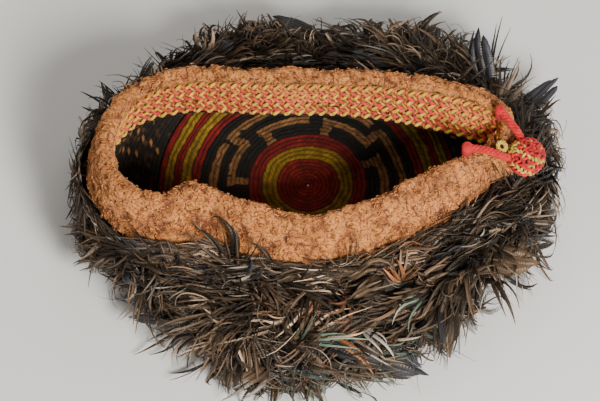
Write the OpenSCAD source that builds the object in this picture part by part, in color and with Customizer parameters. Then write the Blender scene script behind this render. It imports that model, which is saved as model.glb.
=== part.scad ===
// Feather-covered cap, lying upturned on its crown with the opening up.
// A flat crown of concentric yarn coils carries a soft leaning wall, a pile
// headband with a twined lining, and six courses of feathers tied outside.
// A slit in the headband is drawn together by two cords that share a knob.
// Millimetres, +Z up, table at Z = 0, X along the long way of the opening.

/* [Crown] */
// Diameter of the flat coiled crown
crown_d = 180; // [178:0.5:181]
// Thickness of the crown's coils
crown_t = 4; // [3:0.5:4.5]
// Height of the crown's lower face above the table
crown_lift = 8; // [7.8:0.1:8.4]
// Diameter of the small hole at the crown's centre
centre_hole_d = 2.4; // [1.5:0.1:4]
// How far the tan key pattern stands proud of the black field
inlay_proud = 0.6; // [0.3:0.1:1]
// Number of steps in the key pattern round the crown
key_count = 7; // [5:1:9]

/* [Wall] */
// Thickness of the coiled wall
wall_t = 4; // [3:0.5:4.5]
// Number of tan stitches in each of the wall's three rows
dots_per_row = 20; // [10:1:24]

/* [Headband] */
// Thickness of the twined lining strip
lining_t = 2; // [1:0.5:2]
// Thickness of the pile band outside the lining
pile_t = 10.5; // [8:0.5:11]
// Height of the pile rolled over the top edge
roll_h = 7; // [5:0.5:7]
// Half width of the slit, as a share of one station of the rim
slit_half = 0.22; // [0.18:0.01:0.3]

/* [Feathers] */
// Thickness of the feather pad under the crown
pad_h = 7.6; // [6:0.1:7.7]
// Number of feather courses tied round the wall
courses = 6; // [4:1:8]

/* [Tie] */
// Diameter of the tie cords
cord_d = 5; // [4:0.5:5]
// Diameter of the knotted knob
knob_d = 23; // [20:0.5:23]
// Diameter of the yellow loop beside the knob
loop_d = 7; // [5:0.5:7]

/* [Hidden] */
$fn = 72;

// The crown's axis, from the middle of the whole cap's footprint
crown_axis = [-3.8, 17.8, 0];

crown_top = crown_lift + crown_t;
crown_r = crown_d / 2;
clearance = 0.3;
// Outer radius of each colour band, from the centre outwards
centre_r = 19;
yellow_r = 28;
inner_red_r = 36;
field_r = 65;
stripe_r = [field_r, 70.5, 77, 81, 86.5, crown_r];
// Radii of the key pattern's inner and outer arcs
key_inner = [43, 48.5];
key_outer = [54.5, 60];

// The rim is described at sixteen stations, anticlockwise from the slit.
stations = 16;
// Direction of each station on the crown's edge
crown_turn = [-6, 17, 38, 60, 82, 104, 128, 153, 177, 200, 219, 236, 253, 271, 293, 324];
// Radius and height of the wall's widest line
shoulder = [[113, 28], [111, 27], [102, 26], [95, 25], [90, 24], [90, 24], [96, 25], [104, 27],
    [112, 28], [111, 28], [108, 29], [109, 31], [110, 32], [111, 32], [111, 31], [110, 28]];
// Foot of the headband, on the inside
band_foot = [[109, -15, 46], [112, 1, 47], [93, 10, 47], [58, 20, 47], [20, 26, 47], [-25, 27, 47],
    [-70, 28, 48], [-103, 17, 49], [-120, -10, 50], [-117, -38, 50], [-94, -60, 49],
    [-68, -68, 50], [-35, -76, 50], [0, -82, 50], [42, -71, 48], [86, -43, 46]];
// Top of the headband, on the inside
band_top = [[107, -12, 74], [113, 5, 76], [94, 17, 77], [60, 24, 78], [20, 27, 78], [-25, 28, 78],
    [-70, 28, 79], [-99, 16, 80], [-113, -10, 81], [-110, -36, 81], [-89, -51, 78],
    [-66, -47, 82], [-35, -58, 79], [0, -66, 77], [38, -54, 77], [78, -29, 75]];
// Radius and height of the feather coat half way up
coat_mid = [[147, 18], [146, 20], [138, 23], [119, 27], [103, 30], [102, 30], [113, 28], [127, 24],
    [136, 20], [136, 18], [136, 15], [136, 14], [141, 14], [143, 14], [141, 14], [142, 16]];

// Levels along the skin: 0 is the crown's edge, 1 the band's foot, 2 its top
lower_span = [0, 0.298];
middle_span = [0.302, 0.598];
upper_span = [0.602, 0.985];
lining_span = [1.015, 1.97];
pile_span = [1.1, 1.97];
coat_end = 0.9;
coat_gap = 0.006;
binding_t = 1.2;

// The tie: the two anchors lie on the hinge line
anchor_d = 6.4;
far_route = [[113, 6, 83], [119, -2, 82], [124.4, -9, 78.3]];
near_route = [[93, -20, 83], [103, -21.5, 83], [111, -22.5, 80], [116.6, -22.1, 76]];
knob_at = [128, -19, 72];
loop_at = [113.6, -15.6, 77.6];
anchor_reach = 3.8;
cord_sides = 8;

RED = [0.75, 0.22, 0.2];
DARK_RED = [0.42, 0.08, 0.06];
YELLOW = [0.78, 0.66, 0.3];
OLIVE = [0.48, 0.38, 0.08];
BLACK = [0.12, 0.1, 0.09];
TAN = [0.5, 0.35, 0.2];
TERRACOTTA = [0.8, 0.54, 0.36];
FEATHER = [0.2, 0.17, 0.15];

function wrap(i) = ((i % stations) + stations) % stations;
function unit(v) = v / norm(v);
function clamp(v, lo, hi) = min(max(v, lo), hi);

// Smooth curve through b and c, with a and d as its neighbours
function through(a, b, c, d, f) = 0.5 * (2 * b + (c - a) * f
    + (2 * a - 5 * b + 4 * c - d) * f * f + (3 * b - a - 3 * c + d) * f * f * f);

// A list of sixteen values read at any place round the rim
function around(values, u) = let (k = floor(u))
    through(values[wrap(k - 1)], values[wrap(k)], values[wrap(k + 1)], values[wrap(k + 2)], u - k);

function station_turn(i) = crown_turn[wrap(i)] + 360 * floor(i / stations);
function turn_at(u) = let (k = floor(u))
    through(station_turn(k - 1), station_turn(k), station_turn(k + 1), station_turn(k + 2), u - k);

function polar(r, a, z) = [r * cos(a), r * sin(a), z];
function edge_point(u) = polar(crown_r + clearance, turn_at(u), crown_top);
function shoulder_point(u) = let (rz = around(shoulder, u)) polar(rz[0], turn_at(u), rz[1]);
function slope_point(u) = (shoulder_point(u) + around(band_foot, u)) / 2;

// A point on the inner skin: three smooth spans up the wall, then the band
function skin(u, s) = let (a = edge_point(u), b = shoulder_point(u), m = slope_point(u),
        c = around(band_foot, u), t = around(band_top, u), w = s * 3)
    s > 1 ? c + (t - c) * (s - 1)
    : w < 1 ? through(2 * a - b, a, b, m, w)
    : w < 2 ? through(a, b, m, c, w - 1)
    : through(b, m, c, t, w - 2);

// The outward normal of the inner skin, from wide steps so that it turns smoothly.
// The step up the wall shortens towards its end, where it meets the band.
step_u = 0.7;
step_s = [0.02, 0.2];
step_rate = 0.6;
function skin_normal(u, s) = let (base = s > 1 ? 1 : 0,
        reach = clamp((1 - s) * step_rate, step_s[0], step_s[1]),
        lo = clamp(s - reach, base, base + 1), hi = clamp(s + reach, base, base + 1))
    unit(cross(skin(u + step_u, s) - skin(u - step_u, s), skin(u, hi) - skin(u, lo)));

function off_skin(u, s, off) = skin(u, s) + off * skin_normal(u, s);

// The band thins towards the slit
function fullness(u) = let (d = min(wrap(u), stations - wrap(u)))
    clamp(0.3 + 0.7 * (d - slit_half) / 1.5, 0.3, 1);

// The outside of the feather coat, from the table (0) to the band's foot (1)
coat_foot_r = crown_r + 8;
coat_foot_z = 0.6;
coat_shell = wall_t + binding_t + clearance;
coat_top_off = lining_t + pile_t + 4;
coat_lead = 0.42;
function coat(u, level) = let (s = pow(level, coat_lead), a = polar(coat_foot_r, turn_at(u), coat_foot_z),
        rz = around(coat_mid, u), m = polar(rz[0], turn_at(u), rz[1]),
        c = off_skin(u, pile_span[0], coat_top_off), b = 2 * m - (a + c) / 2)
    (1 - s) * (1 - s) * a + 2 * s * (1 - s) * b + s * s * c;

function chain(lo, hi, n) = [for (i = [0:n]) lo + (hi - lo) * i / n];
function reversed(list) = [for (i = [len(list) - 1:-1:0]) list[i]];

// Closes a row of sections, each an even number of points, into one solid:
// a ring when closed, otherwise a strip with its two ends capped.
module loft(sections, closed) {
    n = len(sections);
    m = len(sections[0]);
    half = m / 2;
    last = closed ? n - 1 : n - 2;
    sides = [for (i = [0:last], j = [0:m - 1]) let (a = i * m, b = ((i + 1) % n) * m, k = (j + 1) % m)
        each [[a + j, b + k, a + k], [a + j, b + j, b + k]]];
    end = (n - 1) * m;
    caps = closed ? [] : [for (j = [0:half - 2]) let (p = m - 1 - j, q = m - 2 - j)
        each [[j, j + 1, q], [j, q, p], [end + j, end + q, end + j + 1], [end + j, end + p, end + q]]];
    polyhedron(points = [for (s = sections) each s], faces = concat(sides, caps), convexity = 6);
}

// A layer of the skin between two levels and two depths
function layer(u, levels, inside, outside) = concat(
    [for (s = levels) off_skin(u, s, inside)], [for (s = reversed(levels)) off_skin(u, s, outside)]);

around_steps = 72;
ring_u = [for (i = [0:around_steps - 1]) stations * i / around_steps];
strip_u = chain(slit_half, stations - slit_half, around_steps);

module placed() translate(crown_axis) children();

module ring(inner, outer, low, high) translate([0, 0, low]) difference() {
    cylinder(r = outer, h = high - low);
    translate([0, 0, -1]) cylinder(r = inner, h = high - low + 2);
}

module crown_ring(inner, outer) placed() ring(inner, outer, crown_lift, crown_top);

function arc(r, from, to) = [for (i = [0:arc_steps]) let (a = from + (to - from) * i / arc_steps)
    [r * cos(a), r * sin(a)]];

// One step of the key: a stub from the red ring, an inner arc, a jog, an outer arc
arc_steps = 12;
stub = [40.5, 50];
jog = [8, 14];
outer_arc_start = -34;
module key_step() translate([0, 0, crown_top]) linear_extrude(inlay_proud) polygon(concat(
    arc(inner_red_r, stub[0], stub[1]), arc(key_inner[1], stub[1], jog[1]),
    arc(key_outer[1], jog[1], outer_arc_start), arc(key_outer[0], outer_arc_start, jog[0]),
    arc(key_inner[0], jog[0], stub[0])));

module crown_centre_coils() color(DARK_RED) crown_ring(centre_hole_d / 2, centre_r);
module crown_yellow_ring() color(OLIVE) crown_ring(centre_r, yellow_r);
module crown_inner_red_ring() color(DARK_RED) crown_ring(yellow_r, inner_red_r);
module crown_black_field() color(BLACK) crown_ring(inner_red_r, field_r);
key_start = -22;
module crown_key_pattern() color(TAN) placed() for (i = [0:key_count - 1])
    rotate([0, 0, key_start + 360 * i / key_count]) key_step();
module crown_stripe(i) color(i % 2 == 1 ? DARK_RED : OLIVE) crown_ring(stripe_r[i - 1], stripe_r[i]);

wall_levels = 3;
module wall_coils(span) color(BLACK) placed()
    loft([for (u = ring_u) layer(u, chain(span[0], span[1], wall_levels), 0, wall_t)], true);

// Small raised stitches on the inside of the wall
stitch_depth = [0.8, 1.3];
stitch_w = 0.16;
stitch_h = 0.05;
stitch_rows = [0.2, 0.34, 0.48];
module wall_stitches() color(TAN) placed() for (row = [0:2], i = [0:dots_per_row - 1]) {
    u = stations * (i + row / 2) / dots_per_row;
    s = stitch_rows[row];
    loft([for (v = [u, u + stitch_w]) layer(v, [s, s + stitch_h], -stitch_depth[1], -stitch_depth[0])], false);
}

module headband_lining() color(YELLOW) placed()
    loft([for (u = strip_u) layer(u, chain(lining_span[0], lining_span[1], 3), 0, lining_t)], false);

// The pile is fullest half way up
pile_gap = 0.5;
function pile_off(u, s) = let (rise = (s - pile_span[0]) / (pile_span[1] - pile_span[0]))
    lining_t + pile_gap + pile_t * fullness(u) * (0.85 + 0.15 * sin(180 * rise));
function pile_section(u) = let (levels = chain(pile_span[0], pile_span[1], 3)) concat(
    [for (s = levels) off_skin(u, s, lining_t + pile_gap)],
    [for (s = reversed(levels)) off_skin(u, s, pile_off(u, s))]);
module headband_pile() color(TERRACOTTA) placed()
    loft([for (u = strip_u) pile_section(u)], false);

// A half-round roll over the top of the lining and the pile
roll_gap = 0.2;
roll_steps = 7;
function roll_section(u) = let (f = fullness(u), w = (lining_t + pile_gap + pile_t * f) / 2,
        t = around(band_top, u), up = unit(t - around(band_foot, u)), n = skin_normal(u, 2))
    [for (a = chain(0, 180, roll_steps)) t + n * (w - w * cos(a)) + up * (roll_gap + roll_h * f * sin(a))];
module headband_rim_roll() color(TERRACOTTA) placed()
    loft([for (u = strip_u) roll_section(u)], false);

// A folded tab of pile inside the slit
tab_half = 0.55;
tab_span = [1.45, 1.9];
tab_depth = [5, 0.6];
module headband_end_tab() color(TERRACOTTA) placed()
    loft([for (u = chain(-tab_half, tab_half, 6))
        layer(u, chain(tab_span[0], tab_span[1], 3), -tab_depth[0], -tab_depth[1])], false);

// Cords that tie the quills down, between one course and the next
binding_half = 0.01;
binding_gap = 0.1;
module quill_bindings() color(TAN) placed() for (k = [1:courses - 1]) {
    s = coat_end * k / courses;
    loft([for (u = ring_u) layer(u, [s - binding_half, s + binding_half],
        wall_t + binding_gap, wall_t + binding_gap + binding_t)], true);
}

module feather_crown_pad() color(FEATHER) placed() cylinder(r = crown_r - 2, h = pad_h);

function course_section(u, k) = let (lo = k / courses + coat_gap, hi = (k + 1) / courses - coat_gap,
        levels = chain(lo, hi, 3)) concat(
    [for (s = levels) off_skin(u, coat_end * s, coat_shell)], [for (s = reversed(levels)) coat(u, s)]);
module feather_course(i) color(FEATHER * (0.8 + 0.08 * i)) placed()
    loft([for (u = ring_u) course_section(u, i - 1)], true);

// A small ball of stitching that holds a cord's end, with a stem in the roll
stem_d = 3.6;
stem_h = 6;
stem_drop = 7;
module tie_anchor(at) color(RED) placed() {
    translate(at) sphere(d = anchor_d);
    translate(at - [0, 0, stem_drop]) cylinder(d = stem_d, h = stem_h);
}

// A round tube along a route, mitred at each point
function route_dir(p, i) = unit(p[min(i + 1, len(p) - 1)] - p[max(i - 1, 0)]);
function tube_ring(p, i) = let (d = route_dir(p, i), side = unit(cross(d, [0, 0, 1])), up = cross(side, d))
    [for (k = [0:cord_sides - 1]) let (a = 360 * k / cord_sides)
        p[i] + cord_d / 2 * (cos(a) * side + sin(a) * up)];
function started(p) = [for (i = [0:len(p) - 1])
    i == 0 ? p[0] + anchor_reach * unit(p[1] - p[0]) : p[i]];
module tie_cord(route) color(RED) placed() let (p = started(route))
    loft([for (i = [0:len(p) - 1]) tube_ring(p, i)], false);

module tie_knob() color(RED) placed() translate(knob_at) sphere(d = knob_d);
module tie_knob_loop() color(YELLOW) placed() translate(loop_at) sphere(d = loop_d);

crown_centre_coils();
crown_yellow_ring();
crown_inner_red_ring();
crown_black_field();
crown_key_pattern();
crown_stripe(1);  // crown_stripe_1
crown_stripe(2);  // crown_stripe_2
crown_stripe(3);  // crown_stripe_3
crown_stripe(4);  // crown_stripe_4
crown_stripe(5);  // crown_stripe_5
wall_coils(lower_span);  // wall_lower_coils
wall_coils(middle_span);  // wall_middle_coils
wall_coils(upper_span);  // wall_upper_coils
wall_stitches();
headband_lining();
headband_pile();
headband_rim_roll();
headband_end_tab();
quill_bindings();
feather_crown_pad();
feather_course(1);  // feather_course_1
feather_course(2);  // feather_course_2
feather_course(3);  // feather_course_3
feather_course(4);  // feather_course_4
feather_course(5);  // feather_course_5
feather_course(6);  // feather_course_6
tie_anchor(far_route[0]);  // tie_anchor_far
tie_anchor(near_route[0]);  // tie_anchor_near
tie_cord(far_route);  // tie_cord_far
tie_cord(near_route);  // tie_cord_near
tie_knob();
tie_knob_loop();
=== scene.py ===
import math

import bpy
import numpy as np
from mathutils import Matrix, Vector


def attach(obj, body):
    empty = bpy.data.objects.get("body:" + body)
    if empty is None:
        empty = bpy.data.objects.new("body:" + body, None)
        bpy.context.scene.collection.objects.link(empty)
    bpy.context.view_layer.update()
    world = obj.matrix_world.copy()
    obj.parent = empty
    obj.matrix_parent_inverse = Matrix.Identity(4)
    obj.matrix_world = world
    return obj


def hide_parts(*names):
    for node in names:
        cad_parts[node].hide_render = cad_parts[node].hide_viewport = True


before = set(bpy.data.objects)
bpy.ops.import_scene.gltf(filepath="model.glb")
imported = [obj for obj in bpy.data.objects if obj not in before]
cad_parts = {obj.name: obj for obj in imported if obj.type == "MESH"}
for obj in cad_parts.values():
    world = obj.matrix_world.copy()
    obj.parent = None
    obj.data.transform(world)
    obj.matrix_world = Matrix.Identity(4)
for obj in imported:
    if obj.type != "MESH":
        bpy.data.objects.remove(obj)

bl_info = {
    "name": "Feather-covered cap",
    "version": (1, 0, 0),
    "blender": (4, 5, 0),
    "location": "3D View > Sidebar > Cap",
    "description": "Builds an upturned coil-worked cap with a pile headband, a tie and a coat of feathers",
    "category": "Object",
}

# The crown's axis in the row frame, and the sizes of its parts, all in millimetres
AXIS = np.array([-3.8, 17.8, 0.0])
CROWN_R, CROWN_LOW, CROWN_TOP = 90.0, 8.0, 12.0
WALL_T, SHELL, LINING_T, PILE_GAP, PILE_T, ROLL_H = 4.0, 5.5, 2.0, 0.5, 10.5, 7.0
LINING_SPAN, PILE_SPAN, SLIT_HALF = (1.015, 1.97), (1.1, 1.97), 0.22
BANDS = [("crown_centre_coils", 1.2, 19, "red"), ("crown_yellow_ring", 19, 28, "olive"),
         ("crown_inner_red_ring", 28, 36, "red"), ("crown_black_field", 36, 65, "black"),
         ("crown_stripe_1", 65, 70.5, "red"), ("crown_stripe_2", 70.5, 77, "olive"),
         ("crown_stripe_3", 77, 81, "red"), ("crown_stripe_4", 81, 86.5, "olive"),
         ("crown_stripe_5", 86.5, 90, "red")]

# The rim at sixteen stations, anticlockwise from the slit: direction on the crown's edge,
# radius and height of the widest line, foot and top of the band, and the coat's middle
STATIONS = 16
TURN = [-6, 17, 38, 60, 82, 104, 128, 153, 177, 200, 219, 236, 253, 271, 293, 324]
SHOULDER = [[113, 28], [111, 27], [102, 26], [95, 25], [90, 24], [90, 24], [96, 25], [104, 27],
            [112, 28], [111, 28], [108, 29], [109, 31], [110, 32], [111, 32], [111, 31], [110, 28]]
FOOT = [[109, -15, 46], [112, 1, 47], [93, 10, 47], [58, 20, 47], [20, 26, 47], [-25, 27, 47],
        [-70, 28, 48], [-103, 17, 49], [-120, -10, 50], [-117, -38, 50], [-94, -60, 49],
        [-68, -68, 50], [-35, -76, 50], [0, -82, 50], [42, -71, 48], [86, -43, 46]]
TOP = [[107, -12, 74], [113, 5, 76], [94, 17, 77], [60, 24, 78], [20, 27, 78], [-25, 28, 78],
       [-70, 28, 79], [-99, 16, 80], [-113, -10, 81], [-110, -36, 81], [-89, -51, 78],
       [-66, -47, 82], [-35, -58, 79], [0, -66, 77], [38, -54, 77], [78, -29, 75]]
COAT_MID = [[147, 18], [146, 20], [138, 23], [119, 27], [103, 30], [102, 30], [113, 28], [127, 24],
            [136, 20], [136, 18], [136, 15], [136, 14], [141, 14], [143, 14], [141, 14], [142, 16]]
# How far the coat reaches out at each station, as a share of its full depth
REACH = [1.0, 1.0, 0.85, 0.68, 0.58, 0.56, 0.6, 0.72, 0.82, 0.78, 0.72, 0.8, 1.0, 1.0, 0.8, 0.8]
FAR_ROUTE = [[113, 6, 83], [119, -2, 82], [124.4, -9, 78.3], [128, -19, 72]]
NEAR_ROUTE = [[93, -20, 83], [103, -21.5, 83], [111, -22.5, 80], [116.6, -22.1, 76], [128, -19, 72]]
KNOB_AT, KNOB_R, LOOP_AT = np.array([128.0, -19, 72]), 11.5, np.array([113.6, -15.6, 77.6])


# ---------------------------------------------------------------- curves and surfaces

def through(a, b, c, d, f):
    """Smooth curve from b to c as f goes from 0 to 1, with a and d as its neighbours."""
    return 0.5 * (2 * b + (c - a) * f + (2 * a - 5 * b + 4 * c - d) * f * f
                  + (3 * b - a - 3 * c + d) * f ** 3)


def around(values, u):
    """A list of one value per station, read smoothly at any place u round the rim."""
    v = np.asarray(values, float)
    k = np.floor(u).astype(int)
    f = u - k
    if v.ndim > 1:
        f = f[..., None]
    return through(*(v[(k + i) % STATIONS] for i in (-1, 0, 1, 2)), f)


def turn_at(u):
    """Direction in degrees of place u on the crown's edge, growing by 360 each lap."""
    t = np.asarray(TURN, float)
    k = np.floor(u).astype(int)
    return through(*(t[(k + i) % STATIONS] + 360 * ((k + i) // STATIONS) for i in (-1, 0, 1, 2)), u - k)


def polar(r, a, z):
    """Point at radius r, direction a in degrees and height z."""
    a = np.radians(a)
    return np.stack([r * np.cos(a), r * np.sin(a), z + 0 * a], -1)


def unit(v):
    """The vector v over its length, |v|."""
    return v / np.maximum(np.linalg.norm(v, axis=-1, keepdims=True), 1e-9)


def skin(u, s):
    """Inner skin: smooth spans from the crown's edge (s 0) over the widest line to the band's
    foot (s 1), then straight up the band to its top (s 2)."""
    u, s = np.broadcast_arrays(np.asarray(u, float), np.asarray(s, float))
    a = polar(CROWN_R + 0.3 + 0 * u, turn_at(u), CROWN_TOP)
    rz = around(SHOULDER, u)
    b = polar(rz[..., 0], turn_at(u), rz[..., 1])
    c, t = around(FOOT, u), around(TOP, u)
    m = (b + c) / 2
    w = (s * 3)[..., None]
    wall = np.where(w < 1, through(2 * a - b, a, b, m, w),
                    np.where(w < 2, through(a, b, m, c, w - 1), through(b, m, c, t, w - 2)))
    return np.where((s > 1)[..., None], c + (t - c) * (s - 1)[..., None], wall)


def skin_normal(u, s):
    """Outward normal of the skin, from wide steps so that it turns smoothly."""
    u, s = np.broadcast_arrays(np.asarray(u, float), np.asarray(s, float))
    base = (s > 1) * 1.0
    step = np.where(s > 1, 0.2, np.clip((1 - s) * 0.6, 0.02, 0.2))
    lo, hi = np.clip(s - step, base, base + 1), np.clip(s + step, base, base + 1)
    return unit(np.cross(skin(u + 0.7, s) - skin(u - 0.7, s), skin(u, hi) - skin(u, lo)))


def off_skin(u, s, off):
    """The point off millimetres out from the inner skin: skin(u, s) + off * normal(u, s)."""
    return skin(u, s) + np.asarray(off, float)[..., None] * skin_normal(u, s)


def fullness(u):
    """The band thins towards the slit: 0.3 at the slit, 1 from a station and a half away."""
    d = np.minimum(u % STATIONS, STATIONS - u % STATIONS)
    return np.clip(0.3 + 0.7 * (d - SLIT_HALF) / 1.5, 0.3, 1)


def coat(u, level):
    """Outside of the feather coat: a parabola from the table (0) past its middle to the band (1)."""
    u, level = np.broadcast_arrays(np.asarray(u, float), np.asarray(level, float))
    a = polar(CROWN_R + 8 + 0 * u, turn_at(u), 0.6)
    rz = around(COAT_MID, u)
    m = polar(rz[..., 0], turn_at(u), rz[..., 1])
    c = off_skin(u, PILE_SPAN[0] + 0 * u, LINING_T + PILE_T + 4 + 0 * u)
    b = 2 * m - (a + c) / 2
    s = (np.clip(level, 0, 1) ** 0.42)[..., None]
    return (1 - s) ** 2 * a + 2 * s * (1 - s) * b + s * s * c


def even_places(s, count, lo, hi):
    """Places round the rim at equal distances along the skin at level s, and the whole length."""
    u = np.linspace(lo, hi, 4001)
    run = np.concatenate([[0], np.cumsum(np.linalg.norm(np.diff(skin(u, s), axis=0), axis=1))])
    return np.interp(np.linspace(0, run[-1], count), run, u), run[-1]


_lattice = np.random.default_rng(7).random((32, 32, 32))


def noise(p, size):
    """Smooth random value from -1 to 1 at points p, with lumps of that size."""
    q = p / size + 100.0
    i = np.floor(q).astype(int)
    f = q - i
    f = f * f * (3 - 2 * f)
    total = 0.0
    for dx in (0, 1):
        for dy in (0, 1):
            for dz in (0, 1):
                w = (np.where(dx, f[..., 0], 1 - f[..., 0]) * np.where(dy, f[..., 1], 1 - f[..., 1])
                     * np.where(dz, f[..., 2], 1 - f[..., 2]))
                cell = tuple((i[..., k] + d) % 32 for k, d in enumerate((dx, dy, dz)))
                total = total + w * _lattice[cell]
    return 2 * total - 1


# ---------------------------------------------------------------- meshes

def mesh_piece(name, points, faces, body, material, tint=None, strand=None, stands_for=()):
    """Makes a piece from points in millimetres and index arrays of three or four corners a row."""
    mesh = bpy.data.meshes.new(name)
    points = (np.asarray(points, float) + AXIS) * 0.001
    mesh.vertices.add(len(points))
    mesh.vertices.foreach_set("co", points.astype(np.float32).ravel())
    corners = np.concatenate([f.ravel() for f in faces]).astype(np.int32)
    sizes = np.concatenate([np.full(len(f), f.shape[1]) for f in faces])
    mesh.loops.add(len(corners))
    mesh.loops.foreach_set("vertex_index", corners)
    mesh.polygons.add(len(sizes))
    starts = np.concatenate([[0], np.cumsum(sizes)[:-1]]).astype(np.int32)
    mesh.polygons.foreach_set("loop_start", starts)
    mesh.polygons.foreach_set("use_smooth", np.ones(len(sizes), bool))
    if tint is not None:
        rgba = np.ones((len(points), 4), np.float32)
        rgba[:, :3] = np.clip(tint, 0, 1)
        mesh.attributes.new("tint", "FLOAT_COLOR", "POINT").data.foreach_set("color", rgba.ravel())
    if strand is not None:
        place = np.zeros((len(points), 3), np.float32)
        place[:, :strand.shape[1]] = strand
        mesh.attributes.new("strand", "FLOAT_VECTOR", "POINT").data.foreach_set("vector", place.ravel())
    mesh.update(calc_edges=True)
    mesh.validate()
    obj = bpy.data.objects.new(name, mesh)
    bpy.context.scene.collection.objects.link(obj)
    mesh.materials.append(material)
    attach(obj, body)
    if stands_for:
        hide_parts(*stands_for)
    return obj


def grid_faces(rows, columns, close_rows, close_columns):
    """Faces of a grid of rows by columns of points, wrapped round either way."""
    i = np.arange(rows if close_rows else rows - 1)[:, None]
    j = np.arange(columns if close_columns else columns - 1)[None, :]
    a = i * columns + j
    b = i * columns + (j + 1) % columns
    c = (i + 1) % rows * columns + (j + 1) % columns
    d = (i + 1) % rows * columns + j
    return np.stack([a, d, c, b], -1).reshape(-1, 4)


def capped_loft(sections):
    """Points and faces of a strip of closed sections with its two ends filled by mirrored strips."""
    rings, m = sections.shape[:2]
    sides = grid_faces(rings, m, False, True)
    j = np.arange(m // 2 - 1)
    cap = np.stack([j, j + 1, m - 2 - j, m - 1 - j], -1)
    return sections.reshape(-1, 3), [sides, cap, cap[:, ::-1] + (rings - 1) * m]


def tubes(paths, across, width, depth, sides):
    """Closed tubes along many lines at once: an ellipse of that half width and half depth at each
    point, its width laid towards across. Returns points, faces, and each point's line, run and side."""
    n, rings = paths.shape[:2]
    ahead = unit(np.gradient(paths, axis=1))
    side = unit(across - (across * ahead).sum(-1, keepdims=True) * ahead)
    up = np.cross(ahead, side)
    a = 2 * np.pi * (np.arange(sides) + 0.5) / sides
    ones = np.ones((n, rings))
    width, depth = (ones * width)[..., None, None], (ones * depth)[..., None, None]
    points = (paths[:, :, None] + width * np.cos(a)[:, None] * side[:, :, None]
              + depth * np.sin(a)[:, None] * up[:, :, None])
    base = (np.arange(n) * rings * sides)[:, None, None]
    walls = (grid_faces(rings, sides, False, True)[None] + base).reshape(-1, 4)[:, ::-1]
    if sides == 3:
        cap = np.array([[0, 1, 2]])
    else:
        k = np.arange(1, sides - 1, 2)
        cap = np.stack([0 * k, k, k + 1, (k + 2) % sides], -1)
    low = (cap[None] + base).reshape(-1, cap.shape[1])[:, ::-1]
    high = (cap[None] + base + (rings - 1) * sides).reshape(-1, cap.shape[1])
    line = np.broadcast_to(np.arange(n)[:, None, None], (n, rings, sides))
    run = np.broadcast_to(np.linspace(0, 1, rings)[None, :, None], (n, rings, sides))
    turn = np.broadcast_to((np.arange(sides) / sides)[None, None, :], (n, rings, sides))
    return points.reshape(-1, 3), [walls, low, high], line.ravel(), run.ravel(), turn.ravel()


def ply_shade(points, paths, out, radius):
    """Painted shade of yarn wound in many turns: 1 where a strand faces out, painted dark in the grooves
    beside it, where shade falls.
    """
    n, rings = paths.shape[:2]
    off = points.reshape(n, rings, -1, 3) - paths[:, :, None]
    face = (off * out[:, :, None]).sum(-1) / radius
    return (0.22 + 0.83 * np.clip(0.15 + 0.95 * face, 0, 1)).reshape(-1, 1)


def gather(parts):
    """Joins lists of (points, faces, tint, strand) into one, with the faces renumbered."""
    points, faces, tint, strand, base = [], [], [], [], 0
    for p, f, t, s in parts:
        points.append(p)
        faces += [x + base for x in f]
        tint.append(np.broadcast_to(t, (len(p), 3)))
        strand.append(s)
        base += len(p)
    return np.concatenate(points), faces, np.concatenate(tint), np.concatenate(strand)


def smooth_line(points, count):
    """A smooth line of that many points through a short list of points."""
    p = np.asarray(points, float)
    p = np.concatenate([[2 * p[0] - p[1]], p, [2 * p[-1] - p[-2]]])
    t = np.linspace(0, len(p) - 3 - 1e-6, count)
    k = t.astype(int)
    return through(p[k], p[k + 1], p[k + 2], p[k + 3], (t - k)[:, None])


# ---------------------------------------------------------------- shaders

class Sum:
    """A shader value that plain arithmetic can be written with."""

    def __init__(self, tree, socket):
        self.tree, self.socket = tree, socket

    def node(self, kind, inputs=(), out=0, **settings):
        """Adds any node, wires its inputs by name or number, and returns one of its outputs."""
        made = self.tree.nodes.new(kind)
        for name, value in settings.items():
            setattr(made, name, value)
        for key, value in dict(inputs).items():
            if isinstance(value, Sum):
                self.tree.links.new(value.socket, made.inputs[key])
            else:
                made.inputs[key].default_value = value
        return Sum(self.tree, made.outputs[out])

    def maths(self, operation, *values):
        """One Math node on the values."""
        return self.node("ShaderNodeMath", dict(enumerate(values)), operation=operation)

    def __add__(self, other):
        return self.maths("ADD", self, other)

    def __sub__(self, other):
        return self.maths("SUBTRACT", self, other)

    def __rsub__(self, other):
        return self.maths("SUBTRACT", other, self)

    def __mul__(self, other):
        return self.maths("MULTIPLY", self, other)

    def __truediv__(self, other):
        return self.maths("DIVIDE", self, other)

    def sine(self):
        """The sine of the value, in radians."""
        return self.maths("SINE", self)

    def spread(self, low, high, start=0.0, end=1.0):
        """The value carried from low..high to start..end, clamped."""
        return self.node("ShaderNodeMapRange", {0: self, 1: low, 2: high, 3: start, 4: end})

    __radd__ = __add__
    __rmul__ = __mul__


def mix_colour(amount, first, second, blend="MIX"):
    """Colour between first and second, or first blended with second, by amount."""
    return amount.node("ShaderNodeMix", {0: amount, 6: first, 7: second}, out=2,
                       data_type="RGBA", blend_type=blend)


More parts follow.
